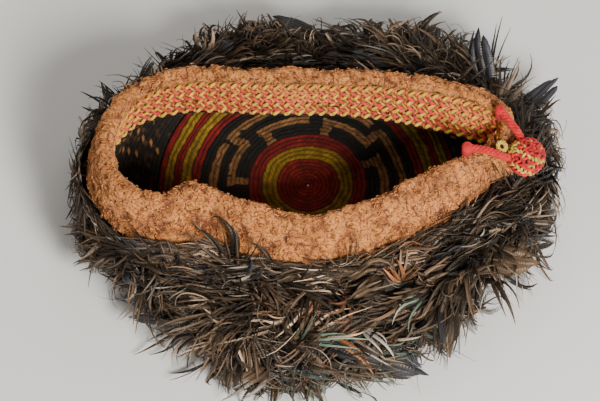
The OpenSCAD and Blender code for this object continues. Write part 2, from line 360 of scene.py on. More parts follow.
class Finish:
    """One material: a Principled shader with an object-space position to build patterns from."""

    def __init__(self, name, roughness, **constants):
        self.material = bpy.data.materials.new(name)
        self.material.use_nodes = True
        self.tree = self.material.node_tree
        self.shader = self.tree.nodes["Principled BSDF"]
        self.shader.inputs["Roughness"].default_value = roughness
        for key, value in constants.items():
            self.shader.inputs[key.replace("_", " ").title().replace("Ior", "IOR")].default_value = value
        self.start = Sum(self.tree, None)
        self.place = self.start.node("ShaderNodeTexCoord", out=3)

    def attribute(self, name, out):
        """One output of a mesh attribute."""
        return self.start.node("ShaderNodeAttribute", out=out, attribute_name=name)

    def grain(self, scale, detail=2.0, where=None, roughness=0.6):
        """Noise from 0 to 1 with that many cells a metre."""
        return self.start.node("ShaderNodeTexNoise", {"Vector": where or self.place, "Scale": scale,
                                                      "Detail": detail, "Roughness": roughness})

    def feed(self, name, value):
        """Links a value to an input of the shader."""
        self.tree.links.new(value.socket, self.shader.inputs[name])

    def bump(self, height, distance, strength=1.0):
        """Raises the surface by height times distance, in the shading only."""
        bumped = self.start.node("ShaderNodeBump", {"Strength": strength, "Distance": distance,
                                                    "Height": height})
        self.feed("Normal", bumped)


def yarn_finish(name, roughness, fuzz, twist=0.0, relief=0.0004, grain=900.0, sheen=0.25, pits=0.0):
    """Spun yarn: the piece's own tint, mottled by fuzz, with fibres and a twist along the strand."""
    f = Finish(name, roughness, sheen_weight=sheen, sheen_roughness=0.6, specular_ior_level=0.25)
    fine, broad = f.grain(grain * 2.2), f.grain(grain * 0.25, 3.0)
    tint = f.attribute("tint", 0)
    shade = fine.spread(0.3, 0.7, 1 - fuzz, 1 + fuzz * 0.6) * broad.spread(0.3, 0.7, 0.82, 1.15)
    height = fine * 0.7 + f.grain(grain * 0.8) * 0.6
    # Painted shade: with pits, the holes are painted darker by that share, as well as lowered by the bump.
    if pits:
        holes = f.grain(grain * 1.1, 2.0).spread(0.34, 0.47)
        shade = shade * holes.spread(0, 1, 1 - pits, 1.0)
        height = height + holes * 0.5
    value = f.start.node("ShaderNodeCombineColor",
                         {0: shade, 1: shade * 0.96 + shade * shade * 0.04, 2: shade * shade})
    f.feed("Base Color", mix_colour(shade * 0 + 1.0, tint, value, "MULTIPLY"))
    if twist:
        parts = f.start.node("ShaderNodeSeparateXYZ", {0: f.attribute("strand", 1)})
        other = Sum(f.tree, parts.socket.node.outputs[1])
        height = height + (parts * twist + other * 6.2832).sine() * 0.9
    f.bump(height, relief)
    f.feed("Roughness", fine.spread(0.2, 0.8, roughness - 0.1, min(roughness + 0.12, 1.0)))
    return f.material


def feather_finish(name, gloss):
    """Feather barbs: the piece's tint with fine slanted barb lines, a satin gloss and pale streaks."""
    f = Finish(name, gloss, specular_ior_level=0.55, specular_tint=(1.0, 0.85, 0.70, 1.0))
    tint = f.attribute("tint", 0)
    parts = f.start.node("ShaderNodeSeparateXYZ", {0: f.attribute("strand", 1)})
    side = Sum(f.tree, parts.socket.node.outputs[1])
    line = Sum(f.tree, parts.socket.node.outputs[2])
    barbs = (parts * 150.0 + side * 9.0 + line * 3.7).sine()
    along = f.start.node("ShaderNodeCombineXYZ", {0: parts * 2.2, 1: side * 13.0, 2: line * 7.0})
    streak = f.grain(1.0, 3.0, along)
    shade = streak.spread(0.3, 0.72, 0.4, 1.75) * barbs.spread(-1, 1, 0.86, 1.1)
    value = f.start.node("ShaderNodeCombineColor", {0: shade, 1: shade, 2: shade})
    f.feed("Base Color", mix_colour(shade * 0 + 1.0, tint, value, "MULTIPLY"))
    f.feed("Roughness", streak.spread(0.3, 0.7, gloss - 0.1, gloss + 0.18))
    f.bump(barbs * 0.4 + streak * 2.5, 0.00014)
    return f.material


# ---------------------------------------------------------------- settings

def colour(name, description, value):
    """A colour setting."""
    return bpy.props.FloatVectorProperty(name=name, description=description, default=value, size=3,
                                         subtype="COLOR", min=0, max=1)


def size(name, description, value):
    """A setting that is a length in metres."""
    return bpy.props.FloatProperty(name=name, description=description, default=value, unit="LENGTH", min=0)


def amount(name, description, value):
    """A setting that is a plain number."""
    return bpy.props.FloatProperty(name=name, description=description, default=value)


def count(name, description, value):
    """A setting that is a whole number of things."""
    return bpy.props.IntProperty(name=name, description=description, default=value, min=1)


class CapYarnSettings(bpy.types.PropertyGroup):
    """Yarn of the crown and the wall"""
    coil_pitch: size("Coil pitch", "Distance from one coil to the next", 0.0026)
    stitch: size("Stitch length", "Length of one stitch along a coil", 0.0031)
    relief: size("Relief", "Height of a coil over its grooves", 0.0008)
    red: colour("Red", "Dark red yarn", (0.20, 0.0085, 0.0065))
    olive: colour("Olive", "Olive yellow yarn", (0.27, 0.158, 0.009))
    black: colour("Black", "Black-brown yarn", (0.0110, 0.0074, 0.0048))
    tan: colour("Tan", "Undyed tan yarn", (0.235, 0.106, 0.036))


class CapBandSettings(bpy.types.PropertyGroup):
    """Headband: twined lining, pile and tab"""
    rows: count("Twined rows", "Rows of twining up the lining", 7)
    stitch: size("Stitch length", "Length of one visible stitch", 0.0033)
    tufts: count("Tufts", "Loops of pile on the band", 10400)
    lumps: size("Lumps", "Height of the pile's lumps", 0.0014)
    red: colour("Red", "Red lining yarn", (0.78, 0.070, 0.052))
    yellow: colour("Yellow", "Yellow lining yarn", (0.78, 0.440, 0.045))
    pile: colour("Pile", "Terracotta pile", (0.88, 0.330, 0.086))
    # The pit colour is painted shade in the pile's low spots and grooves; it also darkens some tufts at
    # random.
    pit: colour("Pits", "Dark pits in the pile", (0.22, 0.055, 0.010))


class CapFeatherSettings(bpy.types.PropertyGroup):
    """Feathers of the coat"""
    per_course: count("Feathers", "Split feathers in one course", 465)
    strands: count("Loose strands", "Single curled strands in one course", 380)
    length: size("Length", "Length of a middling feather", 0.043)
    width: size("Width", "Half width of a middling feather", 0.0034)
    dark: colour("Dark", "Black-brown feathers", (0.021, 0.0140, 0.0090))
    brown: colour("Brown", "Grey-brown feathers", (0.122, 0.075, 0.043))
    pale: colour("Pale", "Beige streaked feathers", (0.42, 0.300, 0.205))
    blue: colour("Blue-black", "Blue-black feathers", (0.021, 0.023, 0.030))
    rust: colour("Rust", "Rust-coloured down", (0.23, 0.090, 0.035))
    sage: colour("Sage", "Grey-green feathers", (0.12, 0.175, 0.125))


class CapTieSettings(bpy.types.PropertyGroup):
    """Cords and knob that draw the slit together"""
    cord: size("Cord diameter", "Thickness of each twisted cord", 0.005)
    beads: count("Folds", "Folded strands on the knob", 260)
    red: colour("Red", "Coral red yarn", (0.74, 0.018, 0.018))
    yellow: colour("Yellow", "Yellow yarn", (0.72, 0.48, 0.075))


class CapStageSettings(bpy.types.PropertyGroup):
    """Camera, lights and floor"""
    elevation: amount("Camera height", "Degrees above the horizon", 57.5)
    distance: size("Camera distance", "From the cap's middle", 2.6)
    lens: amount("Lens", "Focal length in millimetres", 260.0)
    key: amount("Key light", "Power of the main light in watts", 37.0)
    fill: amount("Fill light", "Power of the soft fill in watts", 4.0)
    floor: colour("Floor", "Plain pale floor", (0.80, 0.79, 0.77))


GROUPS = {"cap_yarn": CapYarnSettings, "cap_band": CapBandSettings, "cap_feather": CapFeatherSettings,
          "cap_tie": CapTieSettings, "cap_stage": CapStageSettings}


def tone(value):
    """A colour setting as an array."""
    return np.array(value[:], float)


# ---------------------------------------------------------------- operators

class CAP_OT_camera(bpy.types.Operator):
    """Set the camera over the cap's near edge"""
    bl_idname = "cap.camera"
    bl_label = "Camera"

    def execute(self, context):
        s = context.scene.cap_stage
        camera = bpy.data.objects.new("camera", bpy.data.cameras.new("camera"))
        context.scene.collection.objects.link(camera)
        camera.data.lens, camera.data.sensor_width = s.lens, 36
        e = math.radians(s.elevation)
        back = Vector((0, -math.cos(e), math.sin(e)))
        camera.location = Vector((-0.0086, 0.0064, 0.012)) + back * s.distance
        camera.rotation_euler = (-back).to_track_quat("-Z", "Y").to_euler()
        camera.data.clip_start, camera.data.clip_end = 0.05, 20
        context.scene.camera = camera
        return {"FINISHED"}


class CAP_OT_tie(bpy.types.Operator):
    """Twist the two cords, fold the knob and bend the yellow loop"""
    bl_idname = "cap.tie"
    bl_label = "Tie"

    def execute(self, context):
        s = context.scene.cap_tie
        red, yellow = tone(s.red), tone(s.yellow)
        finish = yarn_finish("coral_yarn", 0.78, 0.30, relief=0.0004, grain=1300.0, sheen=0.10)
        rng = np.random.default_rng(21)
        knob = self.knob(s, red, yellow, finish, rng)
        loop = self.loop(yellow, finish)
        cords = []
        for name, route in (("tie_cord_far", FAR_ROUTE), ("tie_cord_near", NEAR_ROUTE)):
            line = smooth_line(route, 70)
            cords.append((self.cord(name, line, s.cord * 500, red, finish, rng), line))
        for (obj, line), others in zip(cords, ((knob, loop), ())):
            path = (line + AXIS) * 0.001
        for name, route in (("tie_anchor_far", FAR_ROUTE), ("tie_anchor_near", NEAR_ROUTE)):
            self.anchor(name, route, red, finish)
        return {"FINISHED"}

    def cord(self, name, line, r, red, finish, rng):
        """Four plies twisted round the line: each ply's middle circles it at three fifths of the radius."""
        ahead = unit(np.gradient(line, axis=0))
        side = unit(np.cross(ahead, [0.2, 0.1, 1.0]))
        up = np.cross(side, ahead)
        run = np.concatenate([[0], np.cumsum(np.linalg.norm(np.diff(line, axis=0), axis=1))])
        paths = []
        for k in range(4):
            a = 2 * np.pi * (run / 9.0 + k / 4)
            paths.append(line + 0.58 * r * (np.cos(a)[:, None] * side + np.sin(a)[:, None] * up))
        paths = np.array(paths)
        points, faces, _, place, turn = tubes(paths, up + 0 * paths, 0.43 * r, 0.43 * r, 8)
        # Painted shade: the plies are darkened in the grooves between them.
        painted_groove_shade = ply_shade(points, paths, unit(paths - line), 0.43 * r)
        points = points + 0.14 * noise(points, 0.9)[:, None] * unit(points - paths.mean((0, 1)))
        tint = red * painted_groove_shade * (0.85 + 0.4 * noise(points, 1.1)[:, None])
        body = (points, faces, tint, np.stack([place * 20, turn], -1))
        hairs = 70
        start = rng.integers(2, len(line) - 12, hairs)
        out = unit(rng.normal(size=(hairs, 3)))
        out = unit(out - (out * ahead[start]).sum(-1, keepdims=True) * ahead[start])
        t = np.linspace(0, 1, 5)[None, :, None]
        base = line[start][:, None] + out[:, None] * r * 0.7
        fluff = base + t * ahead[start][:, None] * 3.4 + (t * (1 - t)) * out[:, None] * 1.5
        p2, f2, _, r2, t2 = tubes(fluff, out[:, None] + 0 * fluff, 0.12, 0.12, 3)
        extra = (p2, f2, red * 1.1, np.stack([r2, t2], -1))
        points, faces, tint, strand = gather([body, extra])
        return mesh_piece(name + "_yarn", points, faces, "tie", finish, tint, strand, (name,))

    def knob(self, s, red, yellow, finish, rng):
        """A core painted dark as the shade between the folds, with folded strands over it, spread by a
        sunflower spiral and laid in rows that lean one way and the other by turns, with a yellow row across
        the middle. The strands are painted darker the deeper they lie."""
        n = s.beads
        i = np.arange(n) + 0.5
        lat = np.arccos(1 - 2 * i / n)
        lon = np.pi * (1 + 5 ** 0.5) * i
        out = np.stack([np.cos(lon) * np.sin(lat), np.sin(lon) * np.sin(lat), np.cos(lat)], -1)
        slope = unit(np.array([0.42, 0.76, 0.48]))
        high = KNOB_R * (out * slope).sum(-1) + 1.6 * noise(out * 10, 7.0)
        lean = np.where(np.floor(high / 2.3) % 2, 0.75, -0.75)[:, None] + 0.25 * rng.normal(size=(n, 1))
        row = unit(np.cross(out, slope))
        lay = np.cos(lean) * row + np.sin(lean) * np.cross(out, row)
        t = np.linspace(-1, 1, 7)[None, :, None]
        reach = (1.6 + 1.0 * rng.random((n, 1, 1)))
        arch = 1 - t * t
        hook = 0.7 * rng.normal(size=(n, 1, 1)) * t * t
        paths = (KNOB_AT + out[:, None] * (KNOB_R - 2.7 + 1.6 * arch + 0.9 * rng.random((n, 1, 1)))
                 + lay[:, None] * t * reach + np.cross(out, lay)[:, None] * hook)
        swell = np.sqrt(np.clip(1.02 - (t[..., 0] * 0.97) ** 2, 0, 1))
        points, faces, which, run, turn = tubes(paths, np.cross(out, lay)[:, None] + 0 * paths,
                                                0.92 * swell, 0.85 * swell, 7)
        band = (np.abs(high - 0.4) < 1.3) & (rng.random(n) < 0.85)
        rim = (np.abs(high + 9.0) < 1.3) & (rng.random(n) < 0.6)
        lobe = (out * unit(np.array([-0.75, 0.2, 0.62]))).sum(-1) > 0.92
        fleck = rng.random(n) < 0.06
        hue = np.where((band | rim | lobe | fleck)[:, None], yellow, red) * (0.5 + 0.65 * rng.random((n, 1)))
        # Painted shade: strand points nearer the knob's middle are darker, down to 0.12.
        deep = np.clip((np.linalg.norm(points - KNOB_AT, axis=1) - KNOB_R + 3.2) / 3.2, 0.12, 1.05)[:, None]
        beads = (points, faces, hue[which] * deep, np.stack([run * 2, turn], -1))
        u, v = np.linspace(0, np.pi, 14), np.linspace(0, 2 * np.pi, 25)[:-1]
        core = KNOB_AT + (KNOB_R - 2.4) * np.stack([np.sin(u)[:, None] * np.cos(v), np.sin(u)[:, None]
                                                   * np.sin(v), np.cos(u)[:, None] + 0 * v], -1)
        # Painted shade: the core seen between the folds is the red at a quarter brightness.
        under = (core.reshape(-1, 3), [grid_faces(14, 24, False, True)], red * 0.25, np.zeros((14 * 24, 2)))
        points, faces, tint, strand = gather([beads, under])
        return mesh_piece("tie_knob_folds", points, faces, "tie", finish, tint, strand,
                          ("tie_knob",))

    def loop(self, yellow, finish):
        """A small loop of two-ply yarn: a ring with two strands that circle it."""
        a = np.linspace(0, 2 * np.pi, 49)
        ring = LOOP_AT + 2.5 * (np.cos(a)[:, None] * unit(np.array([1.0, -0.4, -0.2]))
                                + np.sin(a)[:, None] * unit(np.array([0.3, 0.9, 0.5])))
        axis = np.array([0.0, -0.4, 0.9])
        out = unit(ring - LOOP_AT)
        paths = np.array([ring + 0.62 * (np.cos(a * 5 + k)[:, None] * out + np.sin(a * 5 + k)[:, None] * axis)
                          for k in (0, np.pi)])
        points, faces, _, run, turn = tubes(paths, axis + 0 * paths, 0.85, 0.8, 7)
        # Painted shade: the two plies are darkened in the grooves between them.
        return mesh_piece("tie_loop_yarn", points, faces, "tie", finish,
                          yellow * ply_shade(points, paths, unit(paths - ring), 0.85),
                          np.stack([run * 9, turn], -1), ("tie_knob_loop",))

    def anchor(self, name, route, red, finish):
        """Whipping: a thread wound in a spiral down a small ball and its stem."""
        at = np.array(route[0], float)
        t = np.linspace(0, 1, 260)
        z = 2.75 - 9.0 * np.clip(t - 0.18, 0, 1) / 0.82
        r = np.minimum(2.75 * np.clip(t / 0.30, 0.02, 1) ** 0.8, 2.6)
        a = 2 * np.pi * 12 * t
        line = at + np.stack([r * np.cos(a), r * np.sin(a), z], -1)
        upright = np.array([0, 0, 1.0]) + 0 * line[None]
        points, faces, _, run, turn = tubes(line[None], upright, 0.66, 0.6, 6)
        # Painted shade: the wound thread is darkened in the grooves between its turns.
        painted_groove_shade = ply_shade(points, line[None], unit(line - at)[None], 0.62)
        return mesh_piece(name + "_whipping", points, faces, "cap", finish,
                          red * 0.9 * painted_groove_shade, np.stack([run * 60, turn], -1), (name,))


def stitched_relief(turns, across, stitches, lean, relief, seed):
    """Height and painted shade of worked coils. turns is the place along a coil in laps, across the place
    over the coils in coils. A coil is a half round, cut by slanting stitches; the shade is painted dark in
    the grooves between coils and stitches, times a random tone for each stitch."""
    coil = np.floor(across).astype(int)
    f = across - coil
    arch = np.sqrt(np.clip(1 - (2 * f - 1) ** 2, 0, 1))
    per = stitches[np.clip(coil, 0, len(stitches) - 1)]
    run = turns * per + lean * (f - 0.5) + coil * 0.37
    which = np.floor(run).astype(int)
    g = run - which
    hump = np.sqrt(np.clip(1 - (2 * g - 1) ** 2, 0, 1))
    luck = np.random.default_rng(seed).random((len(stitches) + 1, int(stitches.max()) + 2))
    luck = luck[np.clip(coil, 0, len(stitches)), which % np.maximum(per, 1)]
    height = relief * arch * (0.42 + 0.58 * hump) * (0.8 + 0.4 * luck)
    # Painted shade: dark at the coil's edges and between stitches, times a random tone for each stitch.
    shade = (0.35 + 0.65 * arch) * (0.45 + 0.55 * hump) * (0.72 + 0.5 * luck)
    return height, shade, coil, which


class CAP_OT_crown(bpy.types.Operator):
    """Work the crown's rings of stitched coils, with the stepped key in the black field"""
    bl_idname = "cap.crown"
    bl_label = "Crown"

    def execute(self, context):
        s = context.scene.cap_yarn
        finish = yarn_finish("crown_yarn", 0.85, 0.34, relief=0.0005, grain=1100.0, sheen=0.04)
        for seed, (name, inner, outer, hue) in enumerate(BANDS):
            coils = max(1, round((outer - inner) / (s.coil_pitch * 1000)))
            per_coil = 5
            laps = int(np.clip(outer * 2 * np.pi / 0.62, 140, 900))
            across = np.linspace(0, coils, coils * per_coil + 1)
            across[-1] -= 1e-6
            a = np.linspace(0, 1, laps + 1)[:-1]
            radii = inner + (outer - inner) * across / coils
            mid = inner + (outer - inner) * (np.arange(coils) + 0.5) / coils
            stitches = np.maximum(6, np.round(2 * np.pi * mid / (s.stitch * 1000))).astype(int)
            A, C = np.meshgrid(a, across, indexing="ij")
            h, shade, coil, _ = stitched_relief(A, C, stitches, 0.9, s.relief * 1000, seed)
            flat = polar(radii[None, :] + 0 * A, A * 360, 0)
            h = CROWN_TOP - 0.35 + h + 0.35 * noise(flat, 17.0)
            drift = 0.75 * noise(flat, 19.0) + 0.45 * noise(flat + 40, 5.0) + 0.30 * noise(flat + 80, 2.2)
            drift = drift * np.clip((radii[None, :] - 3) / 10, 0, 1)
            drift = drift * np.clip((CROWN_R - radii[None, :]) / 4, 0, 1)
            upper = polar(radii[None, :] + drift, A * 360, 0)
            upper[..., 2] = h
            lower = np.stack([polar(edge + 0 * a, a * 360, CROWN_LOW) for edge in (outer, inner)], 1)
            points = np.concatenate([upper, lower], 1)
            worn = np.interp(radii, [0, 19, 28, 60, 90], [1.45, 1.05, 0.86, 1.0, 1.1])[None, :]
            worn = worn * (1 + 0.30 * noise(flat + 60, 2.4) + 0.25 * noise(flat, 12.0))
            faded = np.interp(radii, [0, 19, 40], [0.07, 0.05, 0.0])[None, :, None]
            # The stitch shade is painted shade, dark in the grooves between coils and stitches.
            tint = (tone(getattr(s, hue)) * (1 - faded) + tone(s.tan) * faded) * (shade * worn)[..., None]
            if name == "crown_black_field":
                mask = self.key(A * 360 + 1.6 * noise(flat, 2.6), mid[np.clip(coil, 0, coils - 1)])
                mask = mask & (noise(flat + 30, 1.8) > -0.62)
                shade = shade * np.where(mask, 1.0 + 0.45 * noise(flat, 3.0), 1.0)
                tint = np.where(mask[..., None], tone(s.tan) * shade[..., None], tint)
                points[..., :len(across), 2] += 0.25 * mask
            # Painted shade: the crown's lower side is its own yarn at three tenths brightness.
            tint = np.concatenate([tint, np.broadcast_to(tone(getattr(s, hue)) * 0.3, lower.shape)], 1)
            stands = (name, "crown_key_pattern") if name == "crown_black_field" else (name,)
            faces = grid_faces(laps, points.shape[1], True, True)
            mesh_piece(name + "_yarn", points.reshape(-1, 3), [faces], "cap", finish,
                       tint.reshape(-1, 3), None, stands)
        return {"FINISHED"}

    def key(self, a, r):
        """True on the tan key: seven steps of a stub, an inner arc, a jog and an outer arc."""
        a = (a + 22 + 0.8 * np.sin(r * 2.1)) % (360 / 7)
        inside = lambda lo, hi: (((a - lo) % (360 / 7)) < (hi - lo))
        stub = (r < 46) & inside(41.5, 49.5)
        arc_in = (r > 43.2) & (r < 48.4) & inside(9, 49.5)
        jog = (r > 43.2) & (r < 59.6) & inside(8, 13.5)
        arc_out = (r > 54.6) & (r < 59.6) & inside(-34, 13.5)
        return stub | arc_in | jog | arc_out


class CAP_OT_wall(bpy.types.Operator):
    """Work the black wall of stitched coils, with its rows of tan stitches"""
    bl_idname = "cap.wall"
    bl_label = "Wall"

    def execute(self, context):
        s = context.scene.cap_yarn
        finish = yarn_finish("wall_yarn", 0.88, 0.34, relief=0.0005, grain=1100.0, sheen=0.04)
        laps = 700
        u, length = even_places(0.4, laps + 1, 0.0, float(STATIONS))
        u, turns = u[:-1], np.linspace(0, 1, laps + 1)[:-1]
        for seed, (name, span, coils) in enumerate((("wall_lower_coils", (0.0, 0.30), 8),
                                                    ("wall_middle_coils", (0.30, 0.60), 8),
                                                    ("wall_upper_coils", (0.60, 0.985), 9))):
            across = np.linspace(0, coils, coils * 5 + 1)
            across[-1] -= 1e-6
            level = span[0] + (span[1] - span[0]) * across / coils
            stitches = np.full(coils, round(length / (s.stitch * 1000)))
            T, C = np.meshgrid(turns, across, indexing="ij")
            U, S = np.meshgrid(u, level, indexing="ij")
            h, shade, coil, which = stitched_relief(T, C, stitches, 0.9, s.relief * 1000, 30 + seed)
            inner = off_skin(U, S, 0.3 - h)
            outer = off_skin(u[:, None] + np.zeros(4), level[[-1, -20, 20, 0]][None, :] + 0 * u[:, None],
                             WALL_T + np.zeros((laps, 4)))
            patch = noise(inner, 21.0)
            dots = (coil % 2 == 1) & ((which * 7 + coil * 5) % 9 < 2) & (patch > -0.05)
            worn = np.clip(noise(inner, 3.5) - 0.10 + 0.4 * patch, 0, 0.6)[..., None]
            hue = np.where(dots[..., None], tone(s.tan) * 1.9,
                           tone(s.black) * 1.3 * (1 - worn) + tone(s.tan) * 0.6 * worn)
            # Painted shade: the outside of the wall, under the feathers, is the black yarn at half
            # brightness, and the inside is darkened in the stitch grooves.
            plain = np.broadcast_to(tone(s.black) * 0.5, outer.shape)
            tint = np.concatenate([hue * shade[..., None], plain], 1)
            points = np.concatenate([inner, outer], 1)
            stands = (name, "wall_stitches") if seed == 1 else (name,)
            faces = grid_faces(laps, points.shape[1], True, True)[:, ::-1]
            mesh_piece(name + "_yarn", points.reshape(-1, 3), [faces], "cap", finish,
                       tint.reshape(-1, 3), None, stands)
        return {"FINISHED"}


class CAP_OT_lining(bpy.types.Operator):
    """Twine the headband's lining from red and yellow strands over a woven backing that is painted dark as
    the shade between the strands
    """
    bl_idname = "cap.lining"
    bl_label = "Lining"

    def execute(self, context):
        s = context.scene.cap_band
        u, length = even_places(1.5, 300, SLIT_HALF, STATIONS - SLIT_HALF)
        levels = np.linspace(*LINING_SPAN, 12)
        inside = off_skin(u[:, None], levels[None, :], 1.1 + 0 * u[:, None] + 0 * levels)
        outside = off_skin(u[:, None], levels[None, ::-1], 1.9 + 0 * u[:, None] + 0 * levels)
        points, faces = capped_loft(np.concatenate([inside, outside], 1))
        # Painted shade: the backing seen between the strands is the yellow at three tenths brightness.
        tint = tone(s.yellow) * 0.30 * np.ones((len(points), 1))
        height = float(np.linalg.norm(inside[150, -1] - inside[150, 0]))
        cloth = yarn_finish("lining_backing", 0.85, 0.3, relief=0.0003, grain=1400.0)
        backing = mesh_piece("lining_backing", points, [f[:, ::-1] for f in faces], "cap",
                             cloth, tint, None, ("headband_lining",))
        finish = yarn_finish("lining_yarn", 0.82, 0.30, twist=9.0, relief=0.0003, grain=1500.0, sheen=0.06)
        period = 2 * s.stitch * 1000
        rings = int(length / period * 11)
        u, length = even_places(1.5, rings, SLIT_HALF + 0.01, STATIONS - SLIT_HALF - 0.01)
        run = np.linspace(0, length, rings)
        rng = np.random.default_rng(5)
        shift = rng.normal(size=s.rows) * 0.5
        for k, hue in enumerate(("red", "yellow")):
            paths, across, leads, near = [], [], [], []
            for row in range(s.rows):
                level = LINING_SPAN[0] + (LINING_SPAN[1] - LINING_SPAN[0]) * (row + 0.5) / s.rows
                hand = 1 if row % 2 else -1
                wander = 1.5 * noise(np.stack([run, 0 * run + row * 40, 0 * run], -1), 26.0)
                a = 2 * np.pi * (run / period) + np.pi * (k + row) + shift[row] + wander
                sag = 0.35 * noise(np.stack([run, 0 * run + row * 7, 0 * run + 50], -1), 30.0)
                n = skin_normal(u, level)
                up = unit(around(TOP, u) - around(FOOT, u))
                lead = 1 if (row + k) % 2 else -1
                middle = off_skin(u, level + 0 * u, 0.75 - 0.42 * lead + 0 * u)
                paths.append(middle - 0.90 * np.cos(a)[:, None] * n
                             + (1.15 * hand * np.sin(a) + sag)[:, None] * up)
                across.append(up)
                leads.append(lead)
                # near says how far the strand lies in front, for the painted shade below.
                near.append(0.5 + 0.5 * np.cos(a))
            paths = np.array(paths)
            thick = (1.0 + 0.15 * noise(paths, 6.0)) * (1 + 0.22 * np.array(leads))[:, None]
            points, faces, which, place, turn = tubes(paths, np.array(across), 1.04 * thick, 0.78 * thick, 7)
            near = np.array(near)[which, np.round(place * (rings - 1)).astype(int)]
            high = np.repeat(np.arange(s.rows), len(points) // s.rows) / s.rows
            worn = noise(points, 30.0) * 0.7 + noise(points, 5.0) * 0.5 + 0.75 * (high - 0.62)
            worn = np.clip(worn, 0, 0.62)
            base = tone(getattr(s, hue)) * (0.80 + 0.32 * rng.random((s.rows, 1)))[which]
            front = np.clip(0.5 + 0.9 * noise(points, 2.6), 0, 1)[:, None]
            # Painted shade: each strand is darker where it passes behind the others, down to 0.42, and full
            # bright in front.
            tint = base * (0.78 + 0.34 * front) * (0.42 + 0.66 * np.clip(1.5 * near, 0, 1))[:, None]
            tint = tint * (1 - worn[:, None]) + tone(s.pile) * 1.05 * worn[:, None]
            mesh_piece("lining_%s_strands" % hue, points, faces, "cap", finish,
                                      tint, np.stack([place * length / 3, turn], -1))
        return {"FINISHED"}


def band_section(u, count):
    """A section of the pile band: up its inside, over the rolled top and down its outside. Also
    gives the outward direction there, from the section's own middle line."""
    f = fullness(u)[:, None]
    up = unit(around(TOP, u) - around(FOOT, u))[:, None]
    lo, hi = PILE_SPAN
    inner_n = round(count * 0.2)
    s1 = np.linspace(hi - 0.12, hi, inner_n)[None, :] + 0 * f
    a = np.radians(np.linspace(0, 180, round(count * 0.3)))[None, :]
    s2 = np.linspace(hi, lo - 0.03, count - inner_n - a.shape[1])[None, :] + 0 * f
    ub = u[:, None]
    inside = off_skin(ub + 0 * s1, s1, LINING_T + 0.2 + 0 * s1)
    n_top = skin_normal(u, 2.0 + 0 * u)[:, None]
    w = (LINING_T + PILE_GAP + 0.78 * PILE_T * f) / 2
    top = around(TOP, u)[:, None]
    raised = up * (0.2 + 0.72 * ROLL_H * f * np.sin(a))[..., None]
    roll = top + n_top * (w - (w - 0.2) * np.cos(a))[..., None] + raised
    rise = (s2 - lo) / (hi - lo)
    depth = LINING_T + PILE_GAP + PILE_T * f * (0.72 + 0.12 * np.sin(np.pi * np.clip(rise, 0, 1)))
    outside = off_skin(ub + 0 * s2, s2, depth)
    face_in = -skin_normal(ub + 0 * s1, s1)
    face_top = unit(-n_top * np.cos(a)[..., None] + up * np.sin(a)[..., None])
    face_out = skin_normal(ub + 0 * s2, s2)
    return (np.concatenate([inside, roll[:, 1:-1], outside], 1),
            np.concatenate([face_in, face_top[:, 1:-1], face_out], 1))


def tufted(points, faces_out, base, pit, number, rng, length, radius):
    """Loops of pile on a surface: each rises from a point, bows over and comes back down."""
    pick = rng.integers(0, len(points), number)
    root, out = points[pick] + 0.5 * rng.normal(size=(number, 3)), faces_out[pick]
    lay = rng.normal(size=(number, 3))
    lay = unit(lay - (lay * out).sum(-1, keepdims=True) * out)
    side = np.cross(out, lay)
    t = np.linspace(0, 1, 5)[None, :, None]
    span = length * (0.55 + 0.9 * rng.random((number, 1, 1)))
    rise = length * (0.06 + 0.16 * rng.random((number, 1, 1)))
    bow = length * 0.35 * rng.normal(size=(number, 1, 1))
    paths = (root[:, None] + lay[:, None] * (t - 0.5) * span + out[:, None] * (4 * t * (1 - t) * rise - 0.35)
             + side[:, None] * 4 * t * (1 - t) * bow)
    thick = radius * (0.7 + 0.6 * rng.random((number, 1))) * np.array([0.6, 1, 1.05, 1, 0.6])
    points, faces, which, run, turn = tubes(paths, side[:, None] + 0 * paths, thick, thick * 0.85, 3)
    light = np.clip(0.5 + 0.32 * rng.normal(size=(number, 1)), 0.05, 1)
    hue = (pit * (1 - light) * 0.7 + base * (0.35 + 0.8 * light))
    return points, faces, hue[which], np.stack([run, turn], -1)


